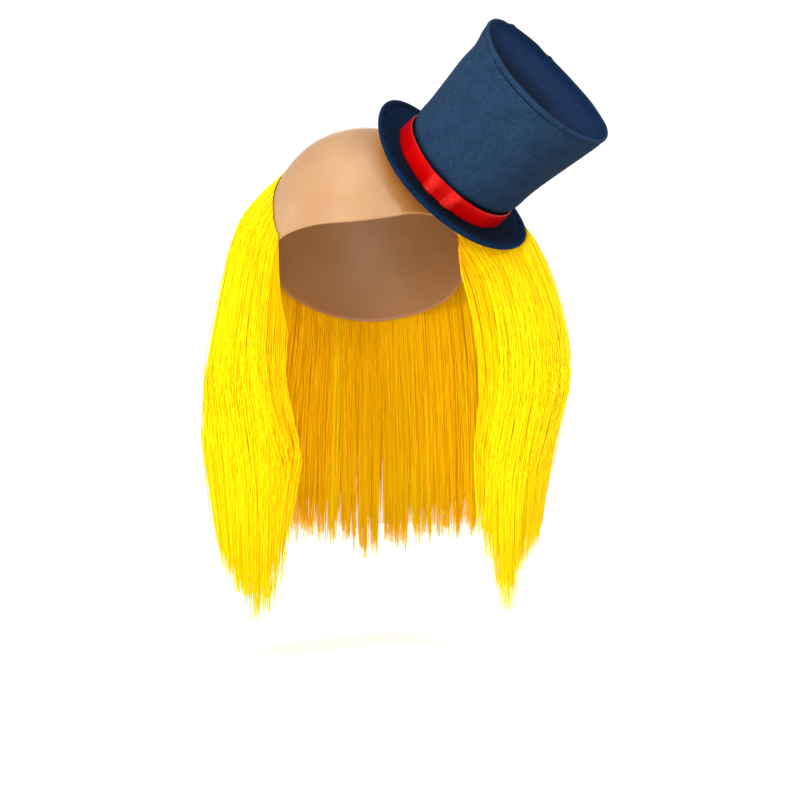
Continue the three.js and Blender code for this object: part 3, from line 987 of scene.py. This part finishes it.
def felt_sway(azimuth, height):
    """The slow unevenness of a soft felt wall."""
    turn = np.radians(azimuth)
    return (
        0.5 * np.sin(2 * turn + 0.03 * height + 1)
        + 0.35 * np.sin(3 * turn - 0.05 * height + 2)
        + 0.2 * np.sin(5 * turn + 0.08 * height)
    ) * smooth((height - 16) / 40)


def front_seam(azimuth):
    """1 where the seam lies open over the front, fading to 0 where the felt closes over it."""
    return smooth((azimuth + 36) / 12) * smooth((30 - azimuth) / 12)


def wall_relief(azimuth, height):
    """How far the felt wall is drawn in or swells, from the ribbon up to the folded rim."""
    below_rim = crown_edge(azimuth) - height
    drawn_in = -2.4 * hump(height, RIBBON_WIDTH + 0.5, 2.6)
    over_ribbon = 0.7 * hump(height, 25, 8)
    seam = -0.4 * hump(below_rim, RIM_SEAM, 0.7)
    crest = 0.35 * hump(below_rim, RIM_SEAM / 2, 1.6)
    lean = -0.9 * smooth(1 - below_rim / 12)
    dent = -2.2 * hump(below_rim, 21, 12) * hump(azimuth, -82, 48)
    return felt_sway(azimuth, height) * 0.5 + drawn_in + over_ribbon + seam + crest + lean + dent


def felt_crown(material):
    """The flared side: a felt tube whose top edge is folded over and stitched into a ridge."""
    columns = 240
    azimuth = -180 + np.arange(columns)[:, None] * 360 / columns
    share = np.concatenate([np.linspace(0, 0.93, 48), np.linspace(0.938, RIM_SHARE, 11)])[None, :]
    edge = crown_edge(azimuth)
    height = CLEARANCE + share * (edge - CLEARANCE)
    outer = crown_radius(share) + wall_relief(azimuth, height)
    turn = np.linspace(0, math.pi, 9)[None, 1:-1]
    lip = FELT / 2
    rim = CLEARANCE + RIM_SHARE * (edge - CLEARANCE)
    rim_radius = crown_radius(RIM_SHARE) - lip + lip * np.cos(turn) + wall_relief(azimuth, rim)
    rim_height = rim + (lip * 1.25 + rim_unevenness(azimuth)) * np.sin(turn)
    inner = (outer - FELT)[:, ::-1]
    radius = np.concatenate([outer, rim_radius, inner], 1)
    level = np.concatenate([height, rim_height, height[:, ::-1]], 1)
    # Painted shade: the felt is darkened in the groove above the ribbon, along the seam under the rim,
    # on the lower side turned from the light, on the inner face of the folded lip and on the whole
    # inside wall
    over_ribbon = 0.85 * hump(np.maximum(height, RIBBON_WIDTH + 0.6), RIBBON_WIDTH + 0.6, 2.4)
    seam = (0.12 + 0.4 * front_seam(azimuth)) * hump(edge - height, RIM_SEAM, 0.8)
    low_side = 0.36 * smooth((azimuth - 8) / 48) * smooth((150 - azimuth) / 40)
    lip_shade = np.broadcast_to(0.35 * smooth((turn - 1.2) / 1.2), rim_radius.shape)
    inside = np.full_like(inner, 0.35)
    painted_shade = np.concatenate([np.maximum(over_ribbon, seam) + low_side, lip_shade, inside], 1)
    x, y = bearing(azimuth)
    points = onto_hat(np.stack([x * radius, y * radius, level], -1))
    return closed_grid("felt_crown", points, material, facts={"painted_shade": painted_shade})


def felt_top(material):
    """The disc that closes the crown, sunk in the middle, its edge turned up inside the rim."""
    columns, rings = 160, 40
    azimuth = -180 + np.arange(columns)[:, None] * 360 / columns
    ring = np.concatenate([np.linspace(0, 0.94, 22), np.linspace(0.945, 1, rings - 22)])[None, :]
    edge = crown_edge(azimuth)
    rim = CLEARANCE + RIM_SHARE * (edge - CLEARANCE)
    reach = crown_radius(RIM_SHARE) + wall_relief(azimuth, rim) - FELT + 0.4
    wide = reach * ring
    middle = CROWN_HEIGHT - TOP_INSET - TOP_SAG - 1.5
    sunk = middle + (edge - TOP_INSET - 1.5 - middle) * ring**2
    sunk = sunk + 1.2 * np.sin(3 * np.radians(azimuth) + 1) * ring * (1 - ring) * 2
    turned_up = np.clip((ring - 0.945) / 0.055, 0, 1) ** 2.2
    height = sunk + (rim + 0.5 - sunk) * turned_up
    inward = FELT * 0.9 * turned_up
    radius = np.concatenate([wide, (wide - inward * 0.2)[:, ::-1]], 1)
    level = np.concatenate([height, (height - FELT + 0.3 * turned_up)[:, ::-1]], 1)
    x, y = bearing(azimuth)
    # painted shadow of the near crest on the sunk top, darkest at the front and fading towards the wig's
    # left
    shade = 0.72 * smooth((10 - y * wide) / 34) * (1 - 0.45 * smooth(x * wide / 30))
    painted_shade = np.concatenate([shade, shade[:, ::-1]], 1)
    points = onto_hat(np.stack([x * radius, y * radius, level], -1))
    return closed_grid("felt_top", points, material, facts={"painted_shade": painted_shade})


def felt_brim(material):
    """The brim, curled up at its two sides, with a full rounded edge."""
    columns = 200
    azimuth = np.arange(columns)[:, None] * 360 / columns
    outer = CROWN_BASE + BRIM_WIDTH
    half = BRIM_THICKNESS / 2
    # rings close together near the edge, where the felt is rolled
    flat = np.concatenate([np.linspace(BRIM_INNER, 67, 14), np.linspace(67.5, outer - half, 18)])
    flat = flat[None, :]
    turn = np.linspace(0, math.pi, 11)[None, 1:-1]
    radius = np.concatenate([flat, outer - half + half * np.sin(turn), flat[:, ::-1]], 1)
    up = np.concatenate([flat * 0 + half, half * np.cos(turn), flat[:, ::-1] * 0 - half], 1)
    across = np.clip((radius - CROWN_BASE) / BRIM_WIDTH, 0, 1)
    wave = 0.35 * np.sin(np.radians(azimuth) * 4 + 0.6) * across**2
    within = outer - radius
    rolled = (0.8 * hump(within, 2.4, 1.6) - 0.6 * hump(within, 6, 1.3)) * (up > 0)
    height = brim_rise(azimuth, across) - half + up + wave + rolled - BRIM_DROOP * across
    radius = radius + 0 * azimuth
    # painted shade on the brim: in the groove inside the rolled edge, and darker towards the crown, most
    # on one side
    groove = 0.5 * hump(within, 6, 1.1)
    shaded = 0.56 + 0.4 * np.cos(np.radians(azimuth - 35))
    painted_shade = np.maximum(shaded * (1 - smooth((radius - CROWN_BASE - 13) / 11)), groove)
    x, y = bearing(azimuth)
    points = onto_hat(np.stack([x * radius, y * radius, height], -1))
    return closed_grid("felt_brim", points, material, facts={"painted_shade": painted_shade})


def satin_ribbon(material):
    """The ribbon round the foot of the crown, creased where it bends, its ends lapped behind."""
    columns = 480
    azimuth = -180 + np.arange(columns + 1)[:, None] * 360 / columns
    rows = np.linspace(0, 1, 16)[None, :]
    turn = np.radians(azimuth)
    height = CLEARANCE + rows * RIBBON_WIDTH + 0.2 * np.sin(7 * turn)
    in_front = 0.25 + 0.75 * smooth((azimuth + 104) / 18) * smooth((150 - azimuth) / 40)
    stand = 0.45 + 0.3 * np.sin(math.pi * rows) + 0.9 * in_front * (1 - rows)
    crumple = 0.07 * np.sin(61 * turn + 4 * rows) + 0.06 * np.sin(97 * turn - 6 * rows)
    stand = stand + crumple * (0.4 + hump(azimuth, 7, 20))
    for place, width, slant, rise, flare in RIBBON_CREASES:
        away = azimuth - place + slant * (rows - 0.5)
        stand = stand + (rise + flare * (1 - rows)) * hump(away, 0, width)
    lap = 0.5 * smooth((azimuth + 180) / 0.8) * smooth((-150 - azimuth) / 0.8)
    inner = crown_radius(height / CROWN_HEIGHT) + CLEARANCE
    radius = np.concatenate([inner + stand + lap, inner[:, ::-1]], 1)
    level = np.concatenate([height, height[:, ::-1]], 1)
    x, y = bearing(azimuth)
    points = onto_hat(np.stack([x * radius, y * radius, level], -1))[:-1]
    uv = np.stack([np.broadcast_to(turn * CROWN_BASE, level.shape), level], -1)
    return closed_grid("satin_ribbon", points, material, uv)


def stitch_tree(material):
    """Geometry Nodes that set stitches of one length at one pitch along a line."""
    tree = bpy.data.node_groups.new("stitches", "GeometryNodeTree")
    sockets = tree.interface
    sockets.new_socket("Line", in_out="INPUT", socket_type="NodeSocketGeometry")
    named = {
        name: sockets.new_socket(name, in_out="INPUT", socket_type="NodeSocketFloat").identifier
        for name in ("Pitch", "Stitch length", "Thread radius")
    }
    sockets.new_socket("Stitches", in_out="OUTPUT", socket_type="NodeSocketGeometry")
    came = add(tree, "NodeGroupInput")
    curve = add(tree, "GeometryNodeMeshToCurve", {"Mesh": came.outputs["Line"]})
    spaced = add(
        tree,
        "GeometryNodeResampleCurve",
        {"Curve": curve.outputs["Curve"], "Length": came.outputs["Pitch"]},
        mode="LENGTH",
    )
    tangent = add(tree, "GeometryNodeInputTangent").outputs["Tangent"]
    turned = add(tree, "FunctionNodeAlignRotationToVector", {"Vector": tangent}, axis="Z")
    ball = add(tree, "GeometryNodeMeshUVSphere", {"Segments": 6, "Rings": 6, "Radius": 1.0})
    half_length = add(
        tree, "ShaderNodeMath", {0: came.outputs["Stitch length"], 1: 0.5}, operation="MULTIPLY"
    ).outputs[0]
    size = add(
        tree,
        "ShaderNodeCombineXYZ",
        {"X": came.outputs["Thread radius"], "Y": came.outputs["Thread radius"], "Z": half_length},
    )
    placed = add(
        tree,
        "GeometryNodeInstanceOnPoints",
        {
            "Points": spaced.outputs["Curve"],
            "Instance": ball.outputs["Mesh"],
            "Rotation": turned.outputs["Rotation"],
            "Scale": size.outputs["Vector"],
        },
    )
    made = add(tree, "GeometryNodeRealizeInstances", {"Geometry": placed.outputs["Instances"]})
    dressed = add(
        tree, "GeometryNodeSetMaterial", {"Geometry": made.outputs["Geometry"], "Material": material}
    )
    add(tree, "NodeGroupOutput", {"Stitches": dressed.outputs["Geometry"]})
    return tree, named


def rim_stitches(material):
    """The row of stitches that holds the crown's folded top edge."""
    columns = 240
    azimuth = -180 + np.arange(columns) * 360 / columns
    height = crown_edge(azimuth) - RIM_SEAM
    share = (height - CLEARANCE) / (crown_edge(azimuth) - CLEARANCE)
    radius = crown_radius(share) + wall_relief(azimuth, height) - 0.22 + 0.35 * front_seam(azimuth)
    x, y = bearing(azimuth)
    points = onto_hat(np.stack([x * radius, y * radius, height], -1))
    mesh = bpy.data.meshes.new("stitch_line")
    loop = [(i, (i + 1) % columns) for i in range(columns)]
    mesh.from_pydata((points * MM).tolist(), loop, [])
    tree, named = stitch_tree(material)
    sizes = {"Pitch": STITCH_PITCH, "Stitch length": STITCH_LENGTH, "Thread radius": THREAD_RADIUS}
    values = {named[key]: size * MM for key, size in sizes.items()}
    return run_nodes("rim_stitches", new_object("stitch_line", mesh), tree, values)


# The stage


def camera():
    data = bpy.data.cameras.new("camera")
    data.lens = CAMERA_LENS
    data.sensor_width = 36
    data.clip_end = 50
    obj = bpy.data.objects.new("camera", data)
    bpy.context.scene.collection.objects.link(obj)
    obj.location = Vector(CAMERA_PLACE) * MM
    obj.rotation_euler = (math.radians(90), 0, 0)
    bpy.context.scene.camera = obj


def pale_floor():
    """A plain pale floor that fades out at its far edge."""
    material, tree = new_material("pale floor")
    place = add(tree, "ShaderNodeTexCoord").outputs["Object"]
    distance = add(tree, "ShaderNodeVectorMath", {0: place}, operation="LENGTH").outputs["Value"]
    near, far = FLOOR_FADE
    fade = add(
        tree, "ShaderNodeMapRange", {"Value": distance, "From Min": near, "From Max": far}
    ).outputs["Result"]
    shader = add(
        tree, "ShaderNodeBsdfPrincipled", {"Base Color": srgb("#F2F1EE"), "Roughness": 0.8}
    ).outputs["BSDF"]
    clear = add(tree, "ShaderNodeBsdfTransparent").outputs["BSDF"]
    mixed = add(tree, "ShaderNodeMixShader", {0: fade, 1: shader, 2: clear})
    add(tree, "ShaderNodeOutputMaterial", {"Surface": mixed.outputs[0]})
    mesh = bpy.data.meshes.new("pale_floor")
    half, down = FLOOR_HALF, -FLOOR_DROP * MM
    corners = [(-half, -half, down), (half, -half, down), (half, half, down), (-half, half, down)]
    mesh.from_pydata(corners, [], [(0, 1, 2, 3)])
    new_object("pale_floor", mesh, material)


def soft_light(name, place, width, watts):
    data = bpy.data.lights.new(name, "AREA")
    data.shape = "DISK"
    data.size = width
    data.energy = watts
    obj = bpy.data.objects.new(name, data)
    bpy.context.scene.collection.objects.link(obj)
    obj.location = place
    towards = Vector(LIT_MIDDLE) - Vector(place)
    obj.rotation_euler = towards.to_track_quat("-Z", "Y").to_euler()


def studio():
    """Soft studio light from in front, above and behind, in a white room."""
    for name, (place, width, watts) in LIGHTS.items():
        soft_light(name, place, width, watts)
    world = bpy.data.worlds.new("white room")
    bpy.context.scene.world = world
    world.use_nodes = True
    tree = world.node_tree
    tree.nodes.clear()
    seen = add(tree, "ShaderNodeLightPath").outputs["Is Camera Ray"]
    strength = add(
        tree, "ShaderNodeMapRange", {"Value": seen, "To Min": ROOM_LIGHT, "To Max": ROOM_SEEN}
    ).outputs["Result"]
    sky = add(tree, "ShaderNodeBackground", {"Color": (1.0, 1.0, 1.0, 1), "Strength": strength})
    add(tree, "ShaderNodeOutputWorld", {"Surface": sky.outputs["Background"]})
    bpy.context.scene.view_settings.view_transform = "Standard"


def main():
    camera()
    studio()
    pale_floor()
    hair = synthetic_hair()
    felt = wool_felt("wool felt", "#16283D", "#1E334C", "#263F5A")
    # painted shade: the top's felt is a darker copy of the crown's, for the shade the sunk top sits in
    shaded_top_felt = wool_felt("wool felt, top", "#0A1B36", "#0E2443", "#152E50")
    brim_felt = wool_felt("wool felt, brim", "#03152D", "#061F3B", "#0B2B4B")
    keep(latex_cap(moulded_latex()), "cap_rubber", "bald_cap")
    keep(felt_brim(brim_felt), "felt_brim", "hat_brim")
    keep(felt_crown(felt), "felt", "hat_crown")
    keep(felt_top(shaded_top_felt), "felt", "hat_top")
    ribbon = keep(satin_ribbon(ribbon_satin()), "ribbon_satin", "hat_ribbon")
    keep(rim_stitches(sewing_thread()), "felt")
    tree, inputs = strand_tree(hair)
    batches = {
        "hair_strands_right": "right",
        "hair_strands_left": "left",
        "hair_strands_back": "back",
        "hair_strands_behind": "back",
    }
    for name, panel in batches.items():
        hair_piece(name, panel, HAIR_COUNT, tree, inputs)


main()
